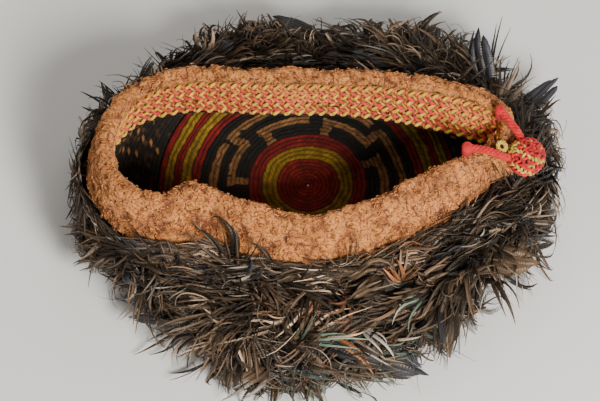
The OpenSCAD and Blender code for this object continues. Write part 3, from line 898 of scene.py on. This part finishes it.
class CAP_OT_pile(bpy.types.Operator):
    """Raise the terracotta pile of the headband, its rolled rim and the tab in the slit"""
    bl_idname = "cap.pile"
    bl_label = "Pile"

    def execute(self, context):
        s = context.scene.cap_band
        finish = yarn_finish("pile_yarn", 0.9, 0.34, relief=0.0011, grain=620.0, sheen=0.10, pits=0.42)
        rng = np.random.default_rng(11)
        u, _ = even_places(1.5, 620, SLIT_HALF, STATIONS - SLIT_HALF)
        shell, facing = band_section(u, 52)
        lump = (noise(shell, 7.5) * 0.9 + noise(shell, 3.4) * 0.55 + noise(shell, 1.6) * 0.2)
        grooves = np.abs(noise(shell * np.array([1, 1, 0.6]), 4.6))
        shape = shell + facing * (s.lumps * 1000 * (lump - 0.4 * (grooves < 0.10)))[..., None]
        back = off_skin(u[:, None] + np.zeros(52), np.linspace(PILE_SPAN[0], PILE_SPAN[1] - 0.13, 52)[None, :]
                        + 0 * u[:, None], LINING_T + 0.3 + np.zeros((len(u), 52)))
        points, faces = capped_loft(np.concatenate([shape, back], 1)[:, ::-1])
        # Painted shade: the pile turns towards the dark pit colour in its low lumps and grooves, and its
        # hidden back is the pit colour.
        dark = np.clip(0.75 + lump * 0.8 - 0.9 * (grooves < 0.10), 0, 1)[..., None]
        tint = tone(s.pit) * (1 - dark) * 0.8 + tone(s.pile) * dark * 0.8
        tint = np.concatenate([tint, np.broadcast_to(tone(s.pit), back.shape)], 1)[:, ::-1]
        mesh_piece("headband_pile_body", points, [f[:, ::-1] for f in faces], "cap",
                   finish, tint.reshape(-1, 3), None, ("headband_pile", "headband_rim_roll"))
        keep = (noise(shape, 9.0) > -0.75)
        flat_p, flat_n = shape[keep], facing[keep]
        upper = flat_p[:, 2] > 70
        for name, mask in (("headband_pile_rim_tufts", upper), ("headband_pile_side_tufts", ~upper)):
            p, f, t, st = tufted(flat_p[mask], flat_n[mask], tone(s.pile), tone(s.pit),
                                 s.tufts // 2, rng, 2.5, 0.34)
            mesh_piece(name, p, f, "cap", finish, t, st)
        self.tab(s, finish, rng)
        self.soft_end(s, finish, rng)
        return {"FINISHED"}

    def tab(self, s, finish, rng):
        """A soft flap folded in ridges inside the slit, with sparse loops on it."""
        u = np.linspace(-0.55, 0.55, 60)
        v = np.linspace(0, 2 * np.pi, 41)[:-1]
        U, V = np.meshgrid(u, v, indexing="ij")
        level = 1.69 + 0.2 * np.sin(V)
        ridge = 0.55 * np.sin(U * 26 + 2.2 * np.sin(V)) * (np.cos(V) > -0.2)
        depth = -3.0 - (2.1 + ridge) * np.cos(V) * np.sqrt(np.clip(1 - (U / 0.58) ** 2, 0.1, 1))
        shape = off_skin(U, level, depth)
        shape = shape + 0.5 * noise(shape, 4.0)[..., None] * skin_normal(U, level)
        m = len(v)
        faces = grid_faces(len(u), m, False, True)
        j = np.arange(m // 2 - 1)
        cap = np.stack([j, j + 1, m - 2 - j, m - 1 - j], -1)
        pale = tone(s.pile) * 1.08 + np.array([0.02, 0.03, 0.03])
        shades = pale * (0.85 + 0.2 * noise(shape.reshape(-1, 3), 3.0)[:, None])
        base = (shape.reshape(-1, 3), [faces, cap, cap[:, ::-1] + (len(u) - 1) * m], shades,
                np.zeros((shape.size // 3, 2)))
        front = np.cos(V) > 0
        loops = tufted(shape[front], -skin_normal(U, level)[front], pale, tone(s.pit), 240, rng, 2.6, 0.4)
        points, faces, tint, strand = gather([base, loops])
        mesh_piece("headband_end_tab_pile", points, faces, "cap", finish, tint, strand,
                   ("headband_end_tab",))

    def soft_end(self, s, finish, rng):
        """The near end of the pile fluffed out under the knob: a lumpy ellipsoid covered in loops."""
        a, b = np.linspace(0.12, np.pi - 0.12, 40), np.linspace(0, 2 * np.pi, 61)[:-1]
        A, B = np.meshgrid(a, b, indexing="ij")
        out = np.stack([np.cos(A), np.sin(A) * np.cos(B), np.sin(A) * np.sin(B)], -1)
        shape = np.array([109.5, -19.5, 61.5]) + out * np.array([10.5, 6.0, 11.5])
        lump = noise(shape, 7.5) * 0.9 + noise(shape, 3.4) * 0.55
        shape = shape + 1.1 * lump[..., None] * out
        m = len(b)
        j = np.arange(m // 2 - 1)
        cap = np.stack([j, j + 1, m - 2 - j, m - 1 - j], -1)
        points = shape.reshape(-1, 3)
        faces = [grid_faces(len(a), m, False, True), cap, cap[:, ::-1] + (len(a) - 1) * m]
        # Painted shade: the pile is darker in the low parts of its lumps.
        shades = tone(s.pile) * np.clip(0.55 + 0.3 * lump, 0.2, 0.9).reshape(-1, 1)
        base = (points, faces, shades, np.zeros((len(points), 2)))
        loops = tufted(points, out.reshape(-1, 3), tone(s.pile), tone(s.pit), 520, rng, 2.5, 0.34)
        points, faces, tint, strand = gather([base, loops])
        mesh_piece("headband_pile_soft_end", points, faces, "cap", finish, tint, strand)


class CAP_OT_bindings(bpy.types.Operator):
    """Wind the two-ply cords that tie the quills to the wall"""
    bl_idname = "cap.bindings"
    bl_label = "Quill bindings"

    def execute(self, context):
        finish = yarn_finish("binding_yarn", 0.85, 0.25, relief=0.0003, grain=1200.0)
        tan = tone(context.scene.cap_yarn.tan)
        u = np.linspace(0, STATIONS, 301)
        paths, across = [], []
        for k in range(1, 6):
            s = 0.9 * k / 6
            n = skin_normal(u, s)
            middle = off_skin(u, s + 0 * u, 4.75 + 0 * u)
            rise = np.cross(n, unit(np.gradient(middle, axis=0)))
            for ply in (0, np.pi):
                a = u * 30 + ply
                paths.append(middle + 0.28 * (np.cos(a)[:, None] * n + np.sin(a)[:, None] * rise))
                across.append(n)
        points, faces, _, run, turn = tubes(np.array(paths), np.array(across), 0.34, 0.34, 5)
        mesh_piece("quill_binding_cords", points, faces, "cap", finish,
                   tan * 0.7 * np.ones((len(points), 1)), np.stack([run * 99, turn], -1), ("quill_bindings",))
        return {"FINISHED"}


class CAP_OT_feathers(bpy.types.Operator):
    """Tie on six courses of split feathers and loose curls, and the flattened pad below"""
    bl_idname = "cap.feathers"
    bl_label = "Feathers"

    def execute(self, context):
        s = context.scene.cap_feather
        self.s = s
        finish = feather_finish("feather_barbs", 0.40)
        self.guard()
        for course in range(1, 7):
            rng = np.random.default_rng(100 + course)
            parts = [self.under(course)]
            full = self.roots(course, s.per_course, rng, (0.15, 0.8), 0.20)
            broad = 0.08 if course < 4 else 0.03
            parts.append(self.split_feathers(full, s.per_course, rng, 1.0, broad))
            parts.append(self.curls(self.roots(course, s.strands, rng, (0.35, 0.95), 0.5), s.strands, rng))
            fluff = self.roots(course, s.strands // 3, rng, (0.3, 0.75), 0.7)
            parts.append(self.curls(fluff, s.strands // 3, rng, 0.4))
            if course == 6:
                parts.append(self.split_feathers(self.collar(340, rng), 340, rng, 0.8))
            points, faces, tint, strand = gather(parts)
            mesh_piece("feather_course_%d_barbs" % course, points, faces, "cap", finish, tint,
                       strand, ("feather_course_%d" % course,))
        self.pad(finish, np.random.default_rng(90))
        return {"FINISHED"}

    def guard(self):
        """Points and outward directions of the surfaces that feathers must stay outside."""
        u = np.linspace(0, STATIONS, 161)[:-1]
        parts = []
        for levels, off in ((np.linspace(0, 0.97, 14), SHELL), (np.linspace(1.0, 1.97, 5), None)):
            U, S = np.meshgrid(u, levels, indexing="ij")
            depth = off + 0 * U if off else LINING_T + PILE_GAP + PILE_T * fullness(U) + 0.8
            parts.append((off_skin(U, S, depth).reshape(-1, 3), skin_normal(U, S).reshape(-1, 3)))
        top, n = around(TOP, u), skin_normal(u, 2.0 + 0 * u)
        f, up = fullness(u), unit(around(TOP, u) - around(FOOT, u))
        for a in np.radians([100, 135, 165]):
            w = (LINING_T + PILE_T * f) / 2
            outwards, upwards = w - w * np.cos(a), ROLL_H * f * np.sin(a) + 0.6
            parts.append((top + n * outwards[:, None] + up * upwards[:, None],
                          unit(-n * np.cos(a) + up * np.sin(a))))
        self.guard_p = np.concatenate([p for p, n in parts])
        self.guard_n = np.concatenate([n for p, n in parts])

    def keep_out(self, paths, margin):
        """Moves points that lie behind the nearest guard point out along its direction. Also says
        which lines never ran deep behind it, since only those can be mended by a short move."""
        flat = paths.reshape(-1, 3)
        near = np.empty(len(flat), int)
        square = (self.guard_p ** 2).sum(-1)
        for i in range(0, len(flat), 4000):
            near[i:i + 4000] = np.argmin(square - 2 * flat[i:i + 4000] @ self.guard_p.T, axis=1)
        depth = ((flat - self.guard_p[near]) * self.guard_n[near]).sum(-1)
        push = np.maximum(margin.reshape(-1) - depth, 0)
        flat = flat + push[:, None] * self.guard_n[near]
        return self.fit_box(flat.reshape(paths.shape)), depth.reshape(paths.shape[:2]).min(1) > -5.0

    def fit_box(self, p):
        """Softly holds points over the table and inside the coat's greatest reach."""
        p = p + AXIS
        for axis, reach in ((0, 138.0), (1, 119.0)):
            over = np.abs(p[..., axis]) - reach
            held = np.sign(p[..., axis]) * (reach + 19 * np.tanh(over / 30))
            p[..., axis] = np.where(over > 0, held, p[..., axis])
        over = p[..., 2] - 88
        p[..., 2] = np.where(over > 0, 88 + 9 * np.tanh(over / 14), p[..., 2])
        under = 4.0 - p[..., 2]
        p[..., 2] = np.where(under > 0, 4.0 - 2.4 * np.tanh(under / 6), p[..., 2])
        return p - AXIS

    def roots(self, course, number, rng, deep, spread):
        """Places in the coat, with the outward direction and the way each feather points: outwards
        low down, and along the rim with a lift high up."""
        u = rng.random(number) * STATIONS
        level = np.clip((course - 1 + rng.random(number)) / 6, 0.01, 0.99)
        inner, outer = off_skin(u, 0.9 * level, SHELL + 0 * u), coat(u, level)
        deep = deep[0] + (deep[1] - deep[0]) * rng.random((number, 1))
        root = inner + (outer - inner) * deep * around(REACH, u)[:, None]
        rise = unit(coat(u, np.clip(level + 0.03, 0, 1)) - coat(u, np.clip(level - 0.03, 0, 1)))
        sideways = unit(coat(u + 0.1, level) - coat(u - 0.1, level))
        out = unit(np.cross(sideways, rise))
        high = level[:, None]
        far = np.clip(np.cos((u - 4.6) / STATIONS * 2 * np.pi), 0, 1)[:, None] ** 1.5
        lock = [noise(root + 40.0 * k, 16.0)[:, None] for k in range(3)]
        swirl = 1.1 * np.sin(u * 0.79 + course * 1.4 + 0.6)[:, None]
        swirl = swirl + 0.6 * np.sin(u * 2.75 + course)[:, None]
        swirl = swirl + 1.3 * far * np.cos((u - 4.6) * 1.1 + 1.2)[:, None]
        along = (0.5 + 1.0 * high) * swirl + 1.3 * lock[0] + spread * rng.normal(size=(number, 1))
        lift = -0.55 + 0.62 * high + 0.20 * far * high + 0.55 * lock[1] + 0.12 * rng.normal(size=(number, 1))
        stand = 0.55 - 0.42 * high + 0.10 * far + 0.25 * lock[2] + 0.10 * rng.normal(size=(number, 1))
        return u, root, out, unit(out * np.clip(stand, 0.10, 1.2) + rise * lift + sideways * along)

    def collar(self, number, rng):
        """Places low on the outside of the pile band, for feathers that lie along it and over its foot."""
        u = SLIT_HALF + 0.1 + rng.random(number) * (STATIONS - 2 * SLIT_HALF - 0.2)
        near = np.clip(-np.cos((u - 4.6) / STATIONS * 2 * np.pi), 0, 1)
        s = 0.93 + (0.21 + 0.20 * near) * rng.random(number)
        out = skin_normal(u, s)
        root = off_skin(u, s, LINING_T + PILE_GAP + PILE_T * 0.85 * fullness(u) + 0.5)
        up = unit(around(TOP, u) - around(FOOT, u))
        sideways = np.cross(up, out)
        way = np.where(rng.random((number, 1)) < 0.5 + 0.45 * np.sin(u * 0.9)[:, None], 1.0, -1.0)
        lift = -0.12 + 0.20 * rng.normal(size=(number, 1))
        return u, root, out, unit(sideways * way + up * lift + out * (0.16 + 0.14 * rng.random((number, 1))))

    def palette(self, root, u, rng, loose):
        """A colour for each feather: mostly black-brown and grey-brown, in patches. The left of the
        near side is paler, and low on the near side there are grey-green and rust ones."""
        s, n = self.s, len(u)
        white, silver = np.array([0.62, 0.56, 0.47]), np.array([0.27, 0.245, 0.215])
        hues = np.array([tone(s.dark), tone(s.dark) * 2.0, tone(s.brown), tone(s.pale), tone(s.blue),
                         tone(s.rust), tone(s.sage), white, silver])
        share = np.array([0.33, 0.26, 0.24, 0.09, 0.06, 0.002, 0.0005, 0.001, 0.02])
        if loose:
            share = np.array([0.25, 0.22, 0.29, 0.16, 0.03, 0.004, 0.001, 0.008, 0.03])
        pick = rng.choice(len(hues), n, p=share / share.sum())
        warm = 0.22 * np.clip(np.cos((u - 10.8) / STATIONS * 2 * np.pi), 0, 1) * (noise(root, 14.0) > -0.1)
        pick = np.where(rng.random(n) < warm, np.where(rng.random(n) < 0.4, 3, 2), pick)
        pick = np.where((root[:, 2] < 26) & (rng.random(n) < 0.14), 8, pick)
        patch = (np.abs(u - 13.5) < 0.9) & (root[:, 2] < 52) & (rng.random(n) < 0.22)
        pick = np.where(patch, np.where(root[:, 2] + 6 * rng.normal(size=n) < 34, 6, 5), pick)
        light = 0.85 + 0.9 * noise(root + 9.0, 9.0)[:, None]
        # Painted shade: feathers are darker towards the left and right ends of the cap, down to 0.76.
        ends = np.interp(np.abs(root[:, 0]), [55, 115], [1.0, 0.76])[:, None]
        return hues[pick] * np.clip(light, 0.3, 1.6) * ends * (0.6 + 0.8 * rng.random((n, 1)))

    def curve(self, root, ahead, bend, long, curl, wave, rings):
        """Lines that leave root along ahead and turn towards bend by curl radians, most at the tip,
        swinging to and fro by wave radians on the way, like a ribbon."""
        t = np.linspace(0, 1, rings)
        angle = curl[..., None] * t ** 2 + wave[..., None] * np.sin(5.2 * t)
        step = np.cos(angle)[..., None] * ahead[..., None, :] + np.sin(angle)[..., None] * bend[..., None, :]
        step[..., 2] -= 0.12 * t
        return root[..., None, :] + (np.cumsum(step, -2) - step) * (long / (rings - 1))[..., None, None]

    def split_feathers(self, where, number, rng, size_by=1.0, broad=0.0):
        """Feathers of three curled ribbons of barbs that lie together at the quill and part at the
        tip, each with its own twist. Broad ones keep together and end in a round tip."""
        s, m, rings = self.s, 3, 9
        u, root, out, ahead = where
        face = unit(out + 0.35 * rng.normal(size=(number, 3)))
        across = unit(np.cross(ahead, face))
        face = np.cross(across, ahead)
        full = (rng.random(number) < broad)[:, None]
        long = s.length * 1000 * size_by * (0.60 + 0.70 * rng.random(number)) * around(REACH, u)
        curl = (0.35 + 1.0 * np.abs(rng.normal(size=number))) * (1 - 0.6 * full[:, 0])
        bend = unit(-0.60 * face + 0.8 * rng.normal(size=(number, 1)) * across)
        wide = s.width * 1000 * size_by * (0.42 + 0.85 * rng.random(number) ** 1.3) * (1 + 1.0 * full[:, 0])
        place = np.linspace(-1, 1, m)[None, :]
        grow = lambda v: np.broadcast_to(v[:, None], (number, m, 3))
        loose = 1 - 0.85 * full
        ahead_m = unit(grow(ahead) + ((0.13 * place + 0.09 * rng.normal(size=(number, m))) * loose)[..., None]
                       * grow(across))
        long_m = long[:, None] * (1 - 0.12 * np.abs(place) - 0.20 * rng.random((number, m)) * loose)
        curl_m = curl[:, None] * (1 + 0.30 * rng.normal(size=(number, m)) * loose)
        wave = 0.38 * rng.normal(size=(number, 1)) + 0.12 * rng.normal(size=(number, m)) * loose
        lines = self.curve(grow(root), ahead_m, grow(bend), long_m, curl_m, wave * loose, rings)
        t = np.linspace(0, 1, rings)
        vane = np.sin(np.pi * np.clip(0.08 + 0.8 * t, 0, 1)) ** 0.8
        apart = (0.62 * wide[:, None] * place)[..., None, None] * vane[:, None]
        lines = lines + apart * grow(across)[:, :, None]
        lines = lines.reshape(number * m, rings, 3)
        margin = 1.0 + 3.0 * t[None, :] * np.repeat(rng.random(number), m)[:, None]
        lines, keep = self.keep_out(lines, margin)
        blunt = np.repeat(full, m, 0)
        taper = np.where(blunt, np.sqrt(np.clip(1.01 - t ** 5, 0.01, 1)), np.clip(1.08 - t ** 2.4, 0.10, 1))
        taper = taper * np.clip(0.30 + t * 3, 0, 1)
        width = np.repeat(wide * 0.46, m)[:, None] * taper * (0.75 + 0.5 * rng.random((number * m, 1)))
        twist = (0.85 * rng.normal(size=(number, m)) * loose).reshape(-1, 1) * t
        side = (np.cos(twist)[..., None] * np.repeat(across, m, 0)[:, None]
                + np.sin(twist)[..., None] * np.repeat(face, m, 0)[:, None])
        points, faces, which, run, turn = tubes(lines[keep], side[keep], width[keep],
                                                0.10 + 0.07 * width[keep], 4)
        hue = self.palette(root, u, rng, False)
        cool = tone(s.blue) * (0.6 + 0.9 * rng.random((number, 1)))
        hue = np.where(full, np.where(rng.random((number, 1)) < 0.6, cool, tone(s.brown) * 0.7), hue)
        hue = np.repeat(hue, m, 0) * (0.65 + 0.7 * rng.random((number * m, 1)))
        rim = np.where((turn < 0.2) | (turn > 0.7), 1.25, 0.85)
        # Painted shade: feathers are darker at the root, deep in the coat, and lighter towards the tip.
        shade = (0.30 + 0.95 * run ** 0.8) * rim
        return points, faces, hue[keep][which] * shade[:, None], np.stack([run, turn, which * 0.37], -1)

    def curls(self, where, number, rng, fine=1.0):
        """Single ribbons that wave, hook and curl clear of the coat."""
        s, rings = self.s, 11
        u, root, out, ahead = where
        bend = unit(np.cross(ahead, unit(rng.normal(size=(number, 3)))) - 0.5 * out)
        long = s.length * 1000 * (0.40 + 0.65 * rng.random(number)) * around(REACH, u) * (0.6 + 0.4 * fine)
        curl = 0.6 + 1.4 * np.abs(rng.normal(size=number))
        paths = self.curve(root, ahead, bend, long, curl, 0.6 * rng.normal(size=number), rings)
        t = np.linspace(0, 1, rings)[None, :]
        paths, keep = self.keep_out(paths, 1.2 + 3.5 * t * rng.random((number, 1)))
        width = fine * (0.28 + 1.1 * rng.random((number, 1)) ** 1.8) * np.clip(1.1 - t ** 2, 0.12, 1)
        side = np.cross(ahead, bend)[:, None] + 0 * paths
        points, faces, which, run, turn = tubes(paths[keep], side[keep], width[keep], 0.13 * fine, 3)
        hue = self.palette(root, u, rng, True)[keep]
        # Painted shade: curls are darker at the root, deep in the coat.
        return points, faces, hue[which] * (0.5 + 0.8 * run[:, None]), np.stack([run, turn, which * 0.37], -1)

    def under(self, course):
        """A lumpy layer over the wall under the barbs, painted dark as the shade deep in the coat."""
        u = np.linspace(0, STATIONS, 241)[:-1]
        lo, hi = (course - 1) / 6, course / 6
        levels = np.linspace(lo, hi, 7)
        U, L = np.meshgrid(u, levels, indexing="ij")
        inner, outer = off_skin(U, 0.9 * L, SHELL + 0 * U), coat(U, L)
        body = inner + (outer - inner) * 0.30 * around(REACH, u)[:, None, None]
        body = body + (1.6 * noise(body, 6.0))[..., None] * unit(outer - inner)
        body[..., 2] = np.maximum(body[..., 2], 1.0)
        points = np.concatenate([inner[:, ::-1], body], 1)
        faces = grid_faces(len(u), points.shape[1], True, True)
        # Painted shade: the dark feather colour, darkened further, with a little mottling.
        tint = tone(self.s.dark) * (0.5 + 0.3 * noise(points.reshape(-1, 3), 3.0)[:, None])
        return points.reshape(-1, 3), [faces], tint, np.zeros((points.size // 3, 3))

    def pad(self, finish, rng):
        """Feathers pressed flat under the crown: a thin lumpy disc, painted dark as shade under the barbs,
        with barbs that lie outwards, and a pale bluish quill end in the middle that is a painted glint in the
        crown's centre hole.
        """
        s, n, rings = self.s, 420, 7
        a = rng.random(n) * 360
        r = 20 + 66 * np.sqrt(rng.random(n))
        root = polar(r, a, 2 + 4.0 * rng.random(n))
        ahead = polar(np.ones(n), a + 50 * rng.normal(size=n), 0)
        t = np.linspace(0, 1, rings)[None, :, None]
        paths = root[:, None] + ahead[:, None] * t * s.length * 700 + rng.normal(size=(n, 1, 3)) * 5 * t ** 2
        paths[..., 2] = np.clip(paths[..., 2], 1.0, 7.0)
        width = (0.5 + 1.6 * rng.random((n, 1))) * np.clip(1.1 - t[..., 0] ** 2, 0.15, 1)
        side = np.cross(ahead, [0, 0, 1.0])
        points, faces, which, run, turn = tubes(paths, side[:, None] + 0 * paths, width, 0.2, 4)
        hue = self.palette(root, 0 * r, rng, False)
        barbs = (points, faces, hue[which], np.stack([run, turn, which * 0.37], -1))
        a, q = np.linspace(0, 360, 121)[:-1], np.array([0.02, 0.35, 0.7, 1.0])
        A, Q = np.meshgrid(a, np.concatenate([q, q[::-1]]), indexing="ij")
        high = np.where(np.arange(8) < 4, 7.4, 1.2)[None, :]
        disc = polar(Q * (CROWN_R - 1), A, 0)
        disc[..., 2] = high + 0.6 * noise(disc + high[..., None], 9.0) * (high < 4)
        # Painted shade: the disc under the barbs is the dark feather colour at 0.6.
        body = (disc.reshape(-1, 3), [grid_faces(120, 8, True, True)], tone(s.dark) * 0.6,
                np.zeros((disc.size // 3, 3)))
        t = np.linspace(0, 1, 6)[:, None]
        # Painted glint: a pale bluish quill end that shows as a bright spot in the crown's centre hole.
        quill = np.array([[-0.6, -0.5, 5.0]]) + t * np.array([[0.7, 0.6, 6.3]])
        p, f, which, run, turn = tubes(quill[None], np.array([1.0, 0, 0]) + 0 * quill[None],
                                       np.array([0.9, 0.95, 1.0, 1.0, 0.9, 0.5]), 0.95, 8)
        end = (p, f, np.array([0.60, 0.62, 0.68]), np.stack([run, turn, 0 * run], -1))
        points, faces, tint, strand = gather([barbs, body, end])
        mesh_piece("feather_crown_pad_barbs", points, faces, "cap", finish, tint, strand,
                   ("feather_crown_pad",))


class CAP_OT_stage(bpy.types.Operator):
    """Lay the floor and hang the soft lights"""
    bl_idname = "cap.stage"
    bl_label = "Stage"

    def execute(self, context):
        s = context.scene.cap_stage
        mesh = bpy.data.meshes.new("floor")
        w = 3.0
        mesh.from_pydata([(-w, -w, 0), (w, -w, 0), (w, w, 0), (-w, w, 0)], [], [(0, 1, 2, 3)])
        floor = bpy.data.objects.new("floor", mesh)
        context.scene.collection.objects.link(floor)
        f = Finish("floor_paper", 0.9, specular_ior_level=0.1)
        f.shader.inputs["Base Color"].default_value = (*s.floor, 1)
        mesh.materials.append(f.material)
        for name, power, at, wide in (("key_light", s.key, (0.50, -1.00, 0.95), 0.40),
                                      ("fill_light", s.fill, (-0.9, -0.3, 0.9), 1.2),
                                      ("back_light", s.fill * 1.35, (0.3, 0.95, 0.8), 1.0)):
            light = bpy.data.lights.new(name, "AREA")
            light.energy, light.size, light.color = power, wide, (1.0, 0.965, 0.92)
            lamp = bpy.data.objects.new(name, light)
            lamp.location = at
            lamp.rotation_euler = (Vector((0, 0, 0.04)) - Vector(at)).to_track_quat("-Z", "Y").to_euler()
            context.scene.collection.objects.link(lamp)
        world = bpy.data.worlds.new("soft_room")
        world.use_nodes = True
        world.node_tree.nodes["Background"].inputs[0].default_value = (1.0, 0.97, 0.93, 1)
        world.node_tree.nodes["Background"].inputs[1].default_value = 0.15
        context.scene.world = world
        return {"FINISHED"}


OPERATORS = (CAP_OT_camera, CAP_OT_tie, CAP_OT_crown, CAP_OT_wall, CAP_OT_pile, CAP_OT_lining,
             CAP_OT_bindings, CAP_OT_feathers, CAP_OT_stage)


class CAP_PT_panel(bpy.types.Panel):
    """Settings and steps of the cap, in order"""
    bl_label = "Feather-covered cap"
    bl_space_type = "VIEW_3D"
    bl_region_type = "UI"
    bl_category = "Cap"

    def draw(self, context):
        for name, group in GROUPS.items():
            box = self.layout.box()
            for key in group.__annotations__:
                box.prop(getattr(context.scene, name), key)
        for step in OPERATORS:
            self.layout.operator(step.bl_idname)


def register():
    """Adds the settings, the operators and the panel to Blender."""
    for cls in (*GROUPS.values(), *OPERATORS, CAP_PT_panel):
        bpy.utils.register_class(cls)
    for name, group in GROUPS.items():
        setattr(bpy.types.Scene, name, bpy.props.PointerProperty(type=group))


def unregister():
    """Takes them out again."""
    for name in GROUPS:
        delattr(bpy.types.Scene, name)
    for cls in reversed((*GROUPS.values(), *OPERATORS, CAP_PT_panel)):
        bpy.utils.unregister_class(cls)


def main():
    """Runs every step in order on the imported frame."""
    register()
    for step in OPERATORS:
        family, name = step.bl_idname.split(".")
        if getattr(getattr(bpy.ops, family), name)() != {"FINISHED"}:
            raise RuntimeError(step.bl_label + " did not finish")


if __name__ == "__main__":
    main()
